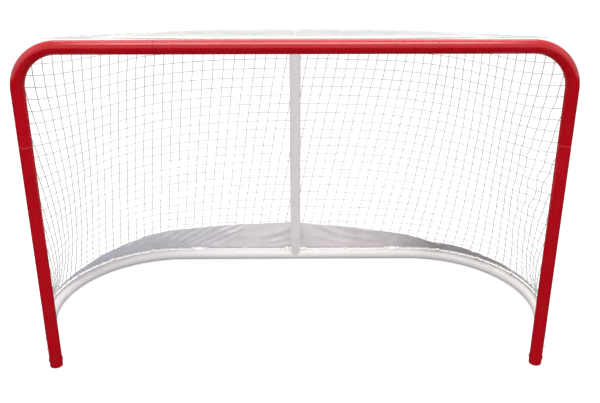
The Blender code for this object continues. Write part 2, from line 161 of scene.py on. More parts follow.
def paintMaterial(name, look):
    item, tree, shader, coords = blankMaterial(name)
    place = coords.outputs["Object"]
    tone = addRamp(tree, addNoise(tree, place, look["patch"]), [(0.3, look["dark"]), (0.7, look["light"])])
    chips = addRamp(tree, addNoise(tree, place, look["chipScale"], 6.0, 0.7),
                    [(look["chipEdge"], (0.0,)), (look["chipEdge"] + 0.015, (1.0,))])
    worn = addMix(tree, chips, tone, look["chip"])
    if "seam" in look:
        # paint rubbed off along the seam of each post
        near = addMath(tree, "COMPARE", objectAxis(tree, place, "Z"), look["seam"], look["seamWidth"])
        worn = addMix(tree, near, worn, look["rubbed"])
    tree.links.new(worn, shader.inputs["Base Color"])
    gloss = addRamp(tree, addNoise(tree, place, look["smearScale"], 4.0),
                    [(0.35, (look["gloss"][0],)), (0.7, (look["gloss"][1],))])
    tree.links.new(gloss, shader.inputs["Roughness"])
    shader.inputs["Specular IOR Level"].default_value = look["specular"]
    addBump(tree, shader, addNoise(tree, place, 420.0, 2.0), 0.1, 0.0004)
    return item


def twineMaterial(name, look):
    item, tree, shader, coords = blankMaterial(name)
    place = coords.outputs["Object"]
    tone = addRamp(tree, addNoise(tree, place, 9.0), [(0.35, look["dark"]), (0.65, look["light"])])
    tree.links.new(tone, shader.inputs["Base Color"])
    shader.inputs["Roughness"].default_value = 0.85
    shader.inputs["Sheen Weight"].default_value = 0.2
    shader.inputs["Sheen Roughness"].default_value = 0.5
    lay = tree.nodes.new("ShaderNodeTexWave")
    lay.bands_direction = "DIAGONAL"
    lay.inputs["Scale"].default_value = look["lay"]
    lay.inputs["Distortion"].default_value = 1.5
    tree.links.new(place, lay.inputs["Vector"])
    addBump(tree, shader, lay.outputs["Fac"], 0.5, 0.0004)
    return item


def clothMaterial(name, look):
    item, tree, shader, coords = blankMaterial(name)
    place = coords.outputs["Object"]
    # painted light: the cloth's colour runs across it from a bluish tint at its left end to a darker right
    # end
    across = addRange(tree, objectAxis(tree, place, "X"), (-look["reach"], look["reach"]), (0, 1))
    tone = addRamp(tree, across, look["tones"])
    spots = addRamp(tree, addNoise(tree, place, 14.0, 5.0), [(0.3, (0.9, 0.9, 0.9)), (0.7, (1.0, 1.0, 1.0))])
    tree.links.new(addMix(tree, 1.0, tone, spots, "MULTIPLY"), shader.inputs["Base Color"])
    rough = addRamp(tree, addNoise(tree, place, 30.0), [(0.3, (0.8,)), (0.7, (0.95,))])
    tree.links.new(rough, shader.inputs["Roughness"])
    shader.inputs["Sheen Weight"].default_value = 0.25
    threads = []
    for direction in ("X", "Y"):
        weave = tree.nodes.new("ShaderNodeTexWave")
        weave.bands_direction = direction
        weave.inputs["Scale"].default_value = look["threads"]
        tree.links.new(coords.outputs["UV"], weave.inputs["Vector"])
        threads.append(weave.outputs["Fac"])
    addBump(tree, shader, addMath(tree, "MULTIPLY", *threads), 0.35, 0.0005)
    return item


def metalMaterial(name, look):
    item, tree, shader, coords = blankMaterial(name)
    place = coords.outputs["Object"]
    tone = addRamp(tree, addNoise(tree, place, look["patch"], 5.0),
                   [(0.35, look["dark"]), (0.7, look["light"])])
    tree.links.new(tone, shader.inputs["Base Color"])
    rough = addRamp(tree, addNoise(tree, place, look["patch"] * 3),
                    [(0.3, (look["gloss"][0],)), (0.7, (look["gloss"][1],))])
    tree.links.new(rough, shader.inputs["Roughness"])
    shader.inputs["Metallic"].default_value = look["metallic"]
    addBump(tree, shader, addNoise(tree, place, 500.0), 0.3, 0.0003)
    return item


redPaint = paintMaterial("redPaint", {
    "dark": (0.45, 0.0001, 0.006), "light": (0.52, 0.0005, 0.009), "patch": 5.0, "chip": (0.24, 0.002, 0.005),
    "chipScale": 38.0, "chipEdge": 0.71, "smearScale": 14.0, "gloss": (0.12, 0.20), "specular": 0.5,
    "seam": front["postSeam"], "seamWidth": 0.0014, "rubbed": (0.58, 0.06, 0.07)})
whitePaint = paintMaterial("whitePaint", {
    "dark": (0.90, 0.86, 0.855), "light": (0.95, 0.915, 0.91), "patch": 4.0, "chip": (0.45, 0.44, 0.42),
    "chipScale": 34.0, "chipEdge": 0.72, "smearScale": 12.0, "gloss": (0.28, 0.40), "specular": 0.25})
twine = twineMaterial("netTwine", {"dark": (0.75, 0.75, 0.73), "light": (0.83, 0.83, 0.81), "lay": 260.0})
cord = twineMaterial("lacingCord", {"dark": (0.78, 0.78, 0.76), "light": (0.86, 0.86, 0.84), "lay": 220.0})
# cloth colours across the skirt: a painted bluish tint of light at the left end, darker towards the right end
cloth = clothMaterial("whiteCloth", {"threads": 320.0, "reach": 1.1, "tones": (
    (0.0, (0.80, 0.83, 0.93)), (0.2, (0.92, 0.92, 0.98)), (0.38, (0.97, 0.93, 0.97)),
    (0.6, (0.97, 0.91, 0.94)), (0.72, (0.86, 0.80, 0.81)), (0.82, (0.50, 0.47, 0.47)))})
zinc = metalMaterial("zincSteel", {"dark": (0.5, 0.5, 0.5), "light": (0.66, 0.66, 0.65), "patch": 60.0,
                                   "gloss": (0.3, 0.45), "metallic": 1.0})
plastic = metalMaterial("blackPlastic", {"dark": (0.015, 0.015, 0.015), "light": (0.03, 0.03, 0.03),
                                         "patch": 40.0, "gloss": (0.5, 0.7), "metallic": 0.0})
finishes = {"red_paint": redPaint, "white_paint": whitePaint, "white_twine": twine, "white_cloth": cloth,
            "zinc_steel": zinc, "black_plastic": plastic}


# Making and placing pieces

def facing(place, direction):
    return Matrix.Translation(place) @ direction.to_track_quat("Z", "Y").to_matrix().to_4x4()


def newObject(name, data):
    item = bpy.data.objects.new(name, data)
    bpy.context.scene.collection.objects.link(item)
    return item


def addPiece(name, data, slot, *nodes):
    item = newObject(name, data)
    item.data.materials.append(cord if "Lacing" in name else finishes[slot])
    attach(item, "root")
    if nodes:
        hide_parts(*nodes)
    return item


def vertsIn(parts):
    return [part for part in parts if isinstance(part, bmesh.types.BMVert)]


def faceOutwards(form):
    bmesh.ops.recalc_face_normals(form, faces=form.faces[:])


def toMesh(name, form, smooth=True):
    data = bpy.data.meshes.new(name)
    form.to_mesh(data)
    form.free()
    if smooth:
        data.shade_smooth()
    return data


def roundedPath(corners, radius, steps):
    points = [corners[0].copy()]
    for before, corner, after in zip(corners, corners[1:], corners[2:]):
        arrive, leave = (corner - before).normalized(), (after - corner).normalized()
        turn = arrive.angle(leave)
        start = corner - arrive * radius * math.tan(turn / 2)
        centre = corner + (leave - arrive).normalized() * radius / math.cos(turn / 2)
        axis = arrive.cross(leave).normalized()
        for step in range(steps + 1):
            points.append(centre + Matrix.Rotation(turn * step / steps, 3, axis) @ (start - centre))
    points.append(corners[-1].copy())
    return points


def measure(path):
    marks = [0.0]
    for one, two in zip(path, path[1:]):
        marks.append(marks[-1] + (two - one).length)
    return marks


def alongPath(path, marks, distance):
    index = min(max(bisect_right(marks, distance) - 1, 0), len(path) - 2)
    step = path[index + 1] - path[index]
    return path[index] + step * ((distance - marks[index]) / step.length), step.normalized()


def beside(path, marks, distance, planeUp, side, out, rise):
    place, direction = alongPath(path, marks, distance)
    return place + direction.cross(planeUp).normalized() * side * out + planeUp * rise


def bentTube(name, start, heading, moves, slot, *nodes, copes=()):
    form = bmesh.new()
    bmesh.ops.create_circle(form, segments=tube["sides"], radius=tube["radius"],
                            matrix=facing(start, heading))
    firstRing, place, heading = form.verts[:], start.copy(), heading.normalized()
    startHeading = heading.copy()
    ring, rim = form.verts[:], form.edges[:]
    for move in moves:
        if len(move) == 1:
            grown = bmesh.ops.extrude_edge_only(form, edges=rim)["geom"]
            ring = vertsIn(grown)
            bmesh.ops.translate(form, verts=ring, vec=heading * move[0])
            place += heading * move[0]
        else:
            angle, radius, axis, steps = move
            centre = place + axis.cross(heading) * radius
            grown = bmesh.ops.spin(form, geom=ring + rim, cent=centre, axis=axis, angle=angle, steps=steps,
                                   use_duplicate=False)["geom_last"]
            ring = vertsIn(grown)
            turn = Matrix.Rotation(angle, 3, axis)
            place, heading = centre + turn @ (place - centre), turn @ heading
        inRing = set(ring)
        rim = [part for part in grown if isinstance(part, bmesh.types.BMEdge) and set(part.verts) <= inRing]
    for end, axisPoint, axis in copes:
        if end == "start":
            copeRing(firstRing, axisPoint, axis, startHeading)
        else:
            copeRing(ring, axisPoint, axis, -heading)
    faceOutwards(form)
    face = firstRing[0].link_faces[0]
    offset = face.calc_center_median() - start
    if face.normal.dot(offset - startHeading * offset.dot(startHeading)) < 0:
        bmesh.ops.reverse_faces(form, faces=form.faces[:])
    item = addPiece(name, toMesh(name, form), slot, *nodes)
    wall = item.modifiers.new("Wall", "SOLIDIFY")
    wall.thickness = tube["wall"]
    wall.offset = -1
    rims = item.modifiers.new("Rims", "BEVEL")
    rims.width = tube["edge"]
    rims.segments = 2
    rims.limit_method = "ANGLE"
    rims.angle_limit = math.radians(40)
    item.modifiers.new("Even shading", "WEIGHTED_NORMAL").weight = 90
    return item


def copeRing(ring, axisPoint, axis, inward):
    # slide each point of a tube's end inward to where it meets the round side of the tube that carries it
    reach = tube["radius"] + tube["gap"]
    run = inward - axis * inward.dot(axis)
    for point in ring:
        away = point.co - axisPoint
        away -= axis * away.dot(axis)
        half = away.dot(run) / run.length_squared
        spare = max(reach ** 2 - (away - run * half).length_squared, 0.0)
        point.co += inward * (math.sqrt(spare) / run.length - half)


def cordMesh(name, runs, radius, roundness, slot, *nodes):
    data = bpy.data.curves.new(name, "CURVE")
    data.dimensions = "3D"
    data.bevel_depth = radius
    data.bevel_resolution = roundness
    data.use_fill_caps = True
    for points in runs:
        run = data.splines.new("POLY")
        run.points.add(len(points) - 1)
        for spot, point in zip(run.points, points):
            spot.co = (*point, 1)
    guide = newObject(name, data)
    bpy.context.view_layer.update()
    solid = bpy.data.meshes.new_from_object(guide.evaluated_get(bpy.context.evaluated_depsgraph_get()))
    bpy.data.objects.remove(guide, do_unlink=True)
    solid.name = name
    solid.materials.clear()
    solid.shade_smooth()
    return addPiece(name, solid, slot, *nodes)


def addBlobs(item, places, radius, finer=1):
    # small round lumps, such as knots and weld drops, joined into a piece
    form = bmesh.new()
    form.from_mesh(item.data)
    for place in places:
        bmesh.ops.create_icosphere(form, subdivisions=finer, radius=radius, matrix=Matrix.Translation(place))
    for face in form.faces:
        face.smooth = True
    form.to_mesh(item.data)
    form.free()


# Front frame: crossbar, corner tubes and posts

def buildFront():
    low, high = front["foot"], front["postSeam"]
    bar = Vector((0, frontY, front["barZ"]))
    half = front["barSeam"] - tube["gap"] / 2
    bentTube("crossbar", bar - right * half, right, [(2 * half,)], "red_paint", "crossbar_tube")
    for side, word, name in sides:
        seam = bar + right * side * (front["barSeam"] + tube["gap"] / 2)
        straight = front["postX"] - front["bend"] - front["barSeam"] - tube["gap"] / 2
        drop = front["barZ"] - front["bend"] - high - tube["gap"] / 2
        bentTube("corner" + name, seam, right * side,
                 [(straight,), (math.radians(90), front["bend"], back * side, front["steps"]), (drop,)],
                 "red_paint", "corner_tube_" + word)
        foot = onPost(side, low)
        bentTube("post" + name, foot, up, [(high - tube["gap"] / 2 - low,)], "red_paint", "post_tube_" + word)
        buildPlug(side, word, name)
    print("front frame made")


def buildPlug(side, word, name):
    plug = {"rim": 0.002, "height": 0.030, "inner": 0.0182, "outer": 0.0213, "floor": 0.003,
            "topEdge": 0.0004, "footEdge": 0.0006}
    form = bmesh.new()
    outer, rim = tube["radius"], plug["rim"]
    profile = [(plug["inner"], plug["height"]), (plug["outer"], plug["height"]), (plug["outer"], rim),
               (outer - plug["topEdge"], rim), (outer, rim - plug["topEdge"]), (outer, plug["footEdge"]),
               (outer - plug["footEdge"], 0.0), (0.0, 0.0)]
    inside = [(0.0, plug["floor"]), (plug["inner"], plug["floor"]), (plug["inner"], plug["height"])]
    spots = [form.verts.new((radius, 0, height)) for radius, height in profile + inside[:-1]]
    lines = [form.edges.new((spots[index], spots[(index + 1) % len(spots)])) for index in range(len(spots))]
    lines = [line for line in lines if any(spot.co.x > 0 for spot in line.verts)]
    bmesh.ops.spin(form, geom=spots + lines, cent=(0, 0, 0), axis=(0, 0, 1), angle=math.tau,
                   steps=tube["sides"], use_merge=True)
    bmesh.ops.remove_doubles(form, verts=form.verts[:], dist=0.00001)
    faceOutwards(form)
    bmesh.ops.translate(form, verts=form.verts[:], vec=(side * front["postX"], frontY, 0))
    addPiece("footPlug" + name, toMesh("footPlug" + name, form, False), "black_plastic", "foot_plug_" + word)


# Base frame on the floor

def onPost(side, height):
    return Vector((side * front["postX"], frontY, height))


def basePath(side):
    foot = onPost(side, tube["radius"])
    corner = Vector((side * baseCornerX, frontY + base["depth"], tube["radius"]))
    return roundedPath([foot, corner, Vector((0, corner.y, tube["radius"]))], base["bend"], base["steps"])


def buildBase():
    backY = frontY + base["depth"]
    half = baseSeam - tube["gap"] / 2
    bentTube("baseBack", Vector((-half, backY, tube["radius"])), right, [(2 * half,)], "white_paint",
             "base_back_tube")
    for side, word, name in sides:
        foot = onPost(side, tube["radius"])
        heading = Vector((side * math.sin(base["splay"]), math.cos(base["splay"]), 0))
        start = base["socket"] + tube["gap"]
        straight = base["depth"] / math.cos(base["splay"]) - base["bend"] * math.tan(baseTurn / 2) - start
        bentTube("baseSide" + name, foot + heading * start, heading,
                 [(straight,), (baseTurn, base["bend"], up * side, base["steps"]),
                  (base["setback"] - tube["gap"] / 2,)], "white_paint", "base_side_tube_" + word)
        bentTube("baseSocket" + name, foot + heading * base["socket"], -heading,
                 [(base["socket"] - base["cope"],)], "red_paint", copes=[("end", foot, up)])
        buildWeld("socketWeld" + name, foot, heading, up, "red_paint")
    print("base made")


def buildWeld(name, axisPoint, heading, axis, slot):
    # the bead where the end of one tube meets the side of another
    bead = {"radius": 0.0019, "ripples": 34, "steps": 136, "rise": 0.0004, "open": 0.50, "gap": 0.0004,
            "seat": 0.0006}
    across = axis.cross(heading).normalized()
    points = []
    for step in range(bead["steps"] + 1):
        angle = -math.pi / 2 + bead["open"] + (math.tau - 2 * bead["open"]) * step / bead["steps"]
        reach = tube["radius"] + bead["gap"] + bead["rise"] * math.sin(angle * bead["ripples"])
        sideways = reach * math.cos(angle)
        seat = (tube["radius"] + bead["seat"]) ** 2 - min(abs(sideways), tube["radius"]) ** 2
        outward = math.sqrt(max(seat, 0))
        points.append(axisPoint + across * sideways + axis * reach * math.sin(angle) + heading * outward)
    cordMesh(name, [points], bead["radius"], 2, slot)


# Top rail and centre post

def railPath(side):
    start = Vector((side * rail["halfWidth"], frontY, front["barZ"]))
    corner = Vector((side * rail["halfWidth"], frontY + rail["depth"], rail["backZ"]))
    return roundedPath([start, corner, Vector((0, corner.y, rail["backZ"]))], rail["bend"], rail["steps"])


def buildRail():
    start = Vector((-rail["halfWidth"], frontY, front["barZ"]))
    run = rail["depth"] / railSlope.y - rail["bend"]
    turn = (math.radians(90), rail["bend"], -railUp, rail["steps"])
    straight = 2 * (rail["halfWidth"] - rail["bend"])
    bentTube("rail", start, railSlope, [(run,), turn, (straight,), turn, (run,)], "white_paint", "rail_tube",
             copes=[("start", start, right), ("end", start, right)])
    low = Vector((0, frontY + base["depth"], tube["radius"]))
    high = Vector((0, frontY + rail["depth"], rail["backZ"]))
    lean = high - low
    bentTube("centrePost", low, lean.normalized(), [(lean.length,)], "white_paint", "centre_post",
             copes=[("start", low, right), ("end", high, right)])
    print("rail and centre post made")


# Screws with a pan head and a round recess

def buildScrews():
    screw = {"head": 0.0055, "height": 0.0024, "edge": 0.0009, "socket": 0.0021, "deep": 0.0016}
    for node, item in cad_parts.items():
        if "_screw" not in node:
            continue
        low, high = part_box(node)
        axis = screwAxis(node)
        seat = (low + high) / 2 + axis * (high - low).dot(Vector([abs(value) for value in axis])) / 2
        form = bmesh.new()
        bmesh.ops.create_circle(form, segments=24, radius=screw["head"], cap_ends=True)
        rise = bmesh.ops.extrude_face_region(form, geom=form.faces[:])["geom"]
        bmesh.ops.translate(form, verts=vertsIn(rise), vec=(0, 0, screw["height"]))
        faceOutwards(form)
        crown = [face for face in form.faces if face.normal.z > 0.9]
        rimEdges = [line for face in crown for line in face.edges]
        bmesh.ops.bevel(form, geom=rimEdges, offset=screw["edge"], affect="EDGES", segments=3, profile=0.5,
                        material=-1)
        crown = [max(form.faces, key=lambda face: face.calc_center_median().z)]
        bmesh.ops.inset_region(form, faces=crown, thickness=screw["head"] - screw["edge"] - screw["socket"])
        sunk = bmesh.ops.extrude_face_region(form, geom=crown)["geom"]
        bmesh.ops.delete(form, geom=crown, context="FACES")
        floor = vertsIn(sunk)
        bmesh.ops.translate(form, verts=floor, vec=(0, 0, -screw["deep"]))
        faceOutwards(form)
        bmesh.ops.transform(form, matrix=facing(seat - axis * screw["height"], axis), verts=form.verts[:])
        name = "".join(word.capitalize() if index else word for index, word in enumerate(node.split("_")))
        addPiece(name + "Head", toMesh(name + "Head", form, False), "zinc_steel", node)
    print("screws made")


def screwAxis(node):
    side = -1 if node.endswith("left") else 1
    if node.startswith("base_foot"):
        return Vector((side * math.cos(base["splay"]), -math.sin(base["splay"]), 0))
    if node.startswith("rail"):
        return -railUp
    if node.startswith("centre_post"):
        return right
    return back


# Wires that the net is laced to, welded to the tubes

def wireSpots(start, end):
    dips = max(1, round((end - start) / wire["period"]))
    spacing = (end - start) / dips
    spots = [(start, weldOff)]
    rise = wireOff - weldOff
    for index in range(dips):
        weld = start + spacing * index
        for step in range(1, 5):
            share = step / 4
            spots.append((weld + wire["ramp"] * share, weldOff + rise * eased(share)))
        for step in range(1, 6):
            spots.append((weld + wire["ramp"] + (spacing - 2 * wire["ramp"]) * step / 6, wireOff))
        for step in range(5):
            share = 1 - step / 4
            spots.append((weld + spacing - wire["ramp"] * share, weldOff + rise * eased(share)))
    return spots


def clamp(value):
    return min(max(value, 0), 1)


def eased(share):
    return share * share * (3 - 2 * share)


def buildWire(name, path, start, end, planeUp, side, angle, slot, node):
    marks = measure(path)
    spots = wireSpots(start, end)

    def standing(distance, lift):
        return beside(path, marks, distance, planeUp, side, lift * math.cos(angle), lift * math.sin(angle))

    item = cordMesh(name, [[standing(*spot) for spot in spots]], wire["radius"], 3, slot, node)
    drops = [standing(distance, lift - wire["dropSink"]) for distance, lift in spots if lift == weldOff]
    addBlobs(item, drops, wire["drop"], 2)


def barRun():
    bar = Vector((0, frontY, front["barZ"]))
    reach = front["barSeam"] - wire["setback"] - wire["clear"]
    return [bar - right * reach, bar + right * reach], 2 * reach


def buildWires():
    path, length = barRun()
    buildWire("crossbarWire", path, 0, length, up, -1, wire["barRise"], "red_paint", "crossbar_lacing_wire")
    for side, word, name in sides:
        corner = cornerPath(side)
        start = rail["halfWidth"] + tube["radius"] - front["barSeam"] + wire["ramp"]
        buildWire("cornerWire" + name, corner, start, measure(corner)[-1] - wire["clear"], back, 1,
                  math.radians(90), "red_paint", "corner_lacing_wire_" + word)
        post = [onPost(side, front["foot"]), onPost(side, front["postSeam"])]
        buildWire("postWire" + name, post, 2 * tube["radius"] + wire["clear"],
                  front["postSeam"] - wire["setback"] - wire["clear"], back, 1, math.radians(90), "red_paint",
                  "post_lacing_wire_" + word)
        path = basePath(side)
        total = measure(path)[-1]
        buildWire("baseSideWire" + name, path, base["socket"] + wire["clear"],
                  total - baseSeam - wire["ramp"], up, side, wire["rise"], "white_paint",
                  "base_side_lacing_wire_" + word)
        buildWire("baseBackWire" + name, path, total - baseSeam + wire["setback"] + wire["ramp"],
                  total - wire["clear"], up, side, wire["rise"], "white_paint",
                  "base_back_lacing_wire_" + word)
        path = railPath(side)
        buildWire("railWire" + name, path, rail["spigot"] - wire["setback"], measure(path)[-1] - wire["ramp"],
                  railUp, side, wire["rise"], "white_paint", "rail_lacing_wire_" + word)
    print("lacing wires made")


def cornerPath(side):
    seam = Vector((side * (front["barSeam"] + tube["gap"] / 2), frontY, front["barZ"]))
    return roundedPath([seam, onPost(side, front["barZ"]), onPost(side, front["postSeam"])], front["bend"],
                       front["steps"])


# The net: one knotted sheet round the goal and one on top, both laced to the wires

net = {"twine": 0.0018, "knot": 0.0025, "cell": 0.043, "strands": 50, "courses": 22, "firstRow": 13,
       "columns": 120, "rows": 40, "smoothing": 400, "sag": 0.027, "sagReach": 0.35, "beside": 0.0053,
       "topSteps": 40, "footSteps": 60, "edgeSteps": 160, "halvings": 14,
       "panels": (5 / 24, 9 / 24, 15 / 24, 19 / 24)}
# how the net lies on the frame, in metres from its middle: the strands lean, the left side is gathered,
# the right side bows and the rows climb towards the posts
lie = {"shift": 0.025, "lean": 0.17, "leanAt": 0.15, "leanReach": 1.0, "sides": 0.9, "gather": 0.15,
       "bow": 0.15, "bowHeight": 0.55, "climbLeft": 0.13, "climbRight": 0.30, "climbFoot": 0.70}


def netEdges():
    # the sheet's top edge, foot and two front edges, each as a path
    halves = {}
    postBack = wireOff + net["beside"]
    railOut = whiteOut + net["beside"]
    for side in (-1, 1):
        centreX = front["postX"] - front["bend"]
        centreZ = front["barZ"] - front["bend"]
        bend = []
        for angle in range(45, 91, 3):
            turn = math.radians(angle)
            bend.append(Vector((side * (centreX + front["bend"] * math.sin(turn)), frontY + postBack,
                                centreZ + front["bend"] * math.cos(turn))))
        path = railPath(side)
        marks = measure(path)
        leave = Vector((abs(bend[0].x) - rail["halfWidth"] + rail["bend"],
                        postBack - rail["depth"] + rail["bend"]))
        reach = rail["bend"] + railOut
        swing = math.acos(reach / leave.length) + math.atan2(leave.y, leave.x)
        start = marks[1] + rail["bend"] * swing
        count = net["topSteps"]
        top = [bend[0]] + [beside(path, marks, start + (marks[-1] - start) * step / count, railUp, side,
                                  railOut, whiteOut) for step in range(count + 1)]
        path = basePath(side)
        marks = measure(path)
        start = base["socket"] + wire["clear"]
        count = net["footSteps"]
        lift = whiteOut + net["beside"]
        foot = [Vector((side * front["postX"], frontY + postBack, tube["radius"] + lift))]
        foot += [beside(path, marks, start + (marks[-1] - start) * step / count, up, side, whiteOut, lift)
                 for step in range(count + 1)]
        halves[side] = (top, foot, bend + [foot[0]])
    return (halves[-1][0][:-1] + halves[1][0][::-1], halves[-1][1][:-1] + halves[1][1][::-1],
            halves[-1][2], halves[1][2])


def share(path, marks, amount):
    return alongPath(path, marks, amount * marks[-1])[0]


def hangSheet():
    # a grid between the four edges, drawn taut by smoothing and then let out a little
    edges = netEdges()
    marks = [measure(path) for path in edges]
    columns, rows = net["columns"], net["rows"]
    form = bmesh.new()
    bmesh.ops.create_grid(form, x_segments=columns, y_segments=rows, size=0.5)
    inner = [spot for spot in form.verts if not spot.is_boundary]
    where = {}
    for spot in form.verts:
        across, down = spot.co.x + 0.5, 0.5 - spot.co.y
        where[(round(across * columns), round(down * rows))] = spot
        top, foot = share(edges[0], marks[0], across), share(edges[1], marks[1], across)
        one, two = share(edges[2], marks[2], down), share(edges[3], marks[3], down)
        blend = top * (1 - down) + foot * down + one * (1 - across) + two * across
        spot.co = blend - (edges[0][0] * (1 - across) * (1 - down) + edges[0][-1] * across * (1 - down)
                           + edges[1][0] * (1 - across) * down + edges[1][-1] * across * down)
    for turn in range(net["smoothing"]):
        bmesh.ops.smooth_vert(form, verts=inner, factor=1.0, use_axis_x=True, use_axis_y=True,
                              use_axis_z=True)
    sheet = [[where[(column, row)].co.copy() for row in range(rows + 1)] for column in range(columns + 1)]
    form.free()
    loose = [[point.copy() for point in line] for line in sheet]
    for column in range(1, columns):
        near = min(column, columns - column) / columns
        amount = net["sag"] * eased(min(near / net["sagReach"], 1))
        for row in range(1, rows):
            run = sheet[column + 1][row] - sheet[column - 1][row]
            inward = run.cross(up).normalized()
            down = row / rows
            loose[column][row] -= inward * amount * 4 * down * (1 - down)
    return loose


def netRuler(sheet):
    # distances from the middle along each level, and down the middle
    middle = net["columns"] // 2
    levels = []
    for row in range(net["rows"] + 1):
        marks = measure([line[row] for line in sheet])
        levels.append([mark - marks[middle] for mark in marks])
    return levels, measure(sheet[middle])


def levelAt(depths, y):
    row = min(max(bisect_right(depths, y) - 1, 0), len(depths) - 2)
    return row, (y - depths[row]) / (depths[row + 1] - depths[row])


def netSpan(ruler, y):
    row, part = levelAt(ruler[1], y)
    low, high = ruler[0][row], ruler[0][row + 1]
    return low[0] * (1 - part) + high[0] * part, low[-1] * (1 - part) + high[-1] * part


def netPoint(sheet, ruler, x, y):
    row, part = levelAt(ruler[1], y)
    found = []
    for level in (row, row + 1):
        marks = ruler[0][level]
        column = min(max(bisect_right(marks, x) - 1, 0), net["columns"] - 1)
        step = (x - marks[column]) / (marks[column + 1] - marks[column])
        found.append((sheet[column][level].lerp(sheet[column + 1][level], clamp(step)),
                      (column + step) / net["columns"]))
    return found[0][0].lerp(found[1][0], part), found[0][1] * (1 - part) + found[1][1] * part


def knotSpot(strand, row):
    x, y = net["cell"] * strand, net["cell"] * row
    side = max(abs(x) - lie["sides"], 0) ** 2
    lean = lie["lean"] * y * math.exp(-((x - lie["leanAt"]) / lie["leanReach"]) ** 2)
    if x < 0:
        pull, climb = lie["gather"] * side, lie["climbLeft"] * side
    else:
        pull, climb = lie["bow"] * side * (1 - (y / lie["bowHeight"]) ** 2), lie["climbRight"] * side
    climb *= 1 - eased(clamp(y / lie["climbFoot"]))
    return x + lie["shift"] - lean + pull, y + net["cell"] * net["firstRow"] - climb


def insideNet(ruler, x, y):
    if not 0 <= y <= ruler[1][-1]:
        return False
    low, high = netSpan(ruler, y)
    return low <= x <= high


def netLine(ruler, placeAt, first, last):
    # the runs of one strand that lie in the sheet, cut where they meet its edges
    runs, run, before = [], [], None
    steps = round((last - first) * 2)
    for step in range(steps + 1):
        value = first + (last - first) * step / steps
        inside = insideNet(ruler, *placeAt(value))
        if before is not None and inside != before[1]:
            low, high = (before[0], value) if before[1] else (value, before[0])
            for turn in range(net["halvings"]):
                middle = (low + high) / 2
                low, high = (middle, high) if insideNet(ruler, *placeAt(middle)) else (low, middle)
            run.append(low)
            if not inside:
                runs.append(run)
                run = []
        if inside:
            run.append(value)
        before = (value, inside)
    return [run for run in runs + [run] if len(run) > 1]


slackness = {"wave": 9, "waveSize": 0.0022, "wobble": 26, "wobbleSize": 0.0012, "flatten": 0.4,
             "looseSize": 0.011, "looseX": 1.25, "looseY": 0.5, "looseWidth": 0.32, "looseHeight": 0.45}


def slack(x, y, sheetPoint):
    # the small unevenness of knotted twine, more of it where the net hangs loose by the right post
    wave = noise.noise_vector(Vector((x * slackness["wave"], y * slackness["wave"], 3.1)))
    loose = (max(0.0, 1 - abs(x - slackness["looseX"]) / slackness["looseWidth"])
             * max(0.0, 1 - abs(y - slackness["looseY"]) / slackness["looseHeight"]))
    wobble = noise.noise_vector(Vector((x * slackness["wobble"], y * slackness["wobble"], 7.7)))
    size = slackness["wobbleSize"] + slackness["looseSize"] * loose
    return (sheetPoint + wave * slackness["waveSize"]
            + Vector((wobble.x, wobble.y * slackness["flatten"], wobble.z)) * size)


def buildNet(sheet, ruler):
    names = (("netSideLeft", "net_side_left"), ("netCornerLeft", "net_corner_left"), ("netBack", "net_back"),
             ("netCornerRight", "net_corner_right"), ("netSideRight", "net_side_right"))
    panelRuns = [[] for name in names]
    panelKnots = [[] for name in names]

    def placeRun(values, placeAt):
        before, run = None, []
        for index, value in enumerate(values):
            x, y = placeAt(value)
            point, across = netPoint(sheet, ruler, x, y)
            if 0 < index < len(values) - 1:
                point = slack(x, y, point)
            panel = bisect_right(net["panels"], across)
            run.append(point)
            if before is not None and panel != before:
                panelRuns[before].append(run)
                run = [point]
            before = panel
        if len(run) > 1:
            panelRuns[before].append(run)

    strands, courses = net["strands"], net["courses"]
    for strand in range(-strands, strands + 1):
        placeAt = lambda value: knotSpot(strand, value)
        for values in netLine(ruler, placeAt, -courses, courses):
            placeRun(values, placeAt)
            for row in (value for value in values[1:-1] if value == round(value)):
                x, y = placeAt(row)
                point, across = netPoint(sheet, ruler, x, y)
                panelKnots[bisect_right(net["panels"], across)].append(slack(x, y, point))
    for row in range(-courses, courses + 1):
        placeAt = lambda value: knotSpot(value, row)
        for values in netLine(ruler, placeAt, -strands, strands):
            placeRun(values, placeAt)
    edges = netEdges()
    for path in edges:
        marks = measure(path)
        edgeRun, before = [], None
        for step in range(net["edgeSteps"] + 1):
            amount = step / net["edgeSteps"]
            panel = 0 if path is edges[2] else 4 if path is edges[3] else bisect_right(net["panels"], amount)
            edgeRun.append(share(path, marks, amount))
            if before is not None and panel != before:
                panelRuns[before].append(edgeRun)
                edgeRun = [edgeRun[-1]]
            before = panel
        panelRuns[before].append(edgeRun)
    for (name, node), runs, knots in zip(names, panelRuns, panelKnots):
        item = cordMesh(name, runs, net["twine"], 1, "white_twine", node)
        addBlobs(item, knots, net["knot"])
    print("net made with", sum(len(knots) for knots in panelKnots), "knots")


# The flat net on top

topNet = {"sag": 0.012, "barReach": 0.585, "railReach": 0.70, "lift": 0.004, "rampStart": 0.036,
          "ramp": 0.05, "firstRow": 0.0365, "wave": 9, "waveSize": 0.0018}


def topHeight(x, y):
    slope = railSlope.z / railSlope.y
    plane = front["barZ"] + slope * y + (whiteOut + net["beside"]) / railSlope.y
    reach = abs(x)
    centreX = front["postX"] - front["bend"]
    if reach < topNet["barReach"]:
        edge = front["barZ"] + wireOff * math.sin(wire["barRise"]) + net["beside"]
    elif reach < topNet["railReach"]:
        edge = plane
    elif reach < centreX:
        edge = front["barZ"] + topNet["lift"]
    else:
        drop = math.sqrt(max(front["bend"] ** 2 - (reach - centreX) ** 2, 0))
        edge = front["barZ"] - front["bend"] + drop + topNet["lift"]
    share = eased(clamp((y - topNet["rampStart"]) / topNet["ramp"]))
    return edge * (1 - share) + plane * share


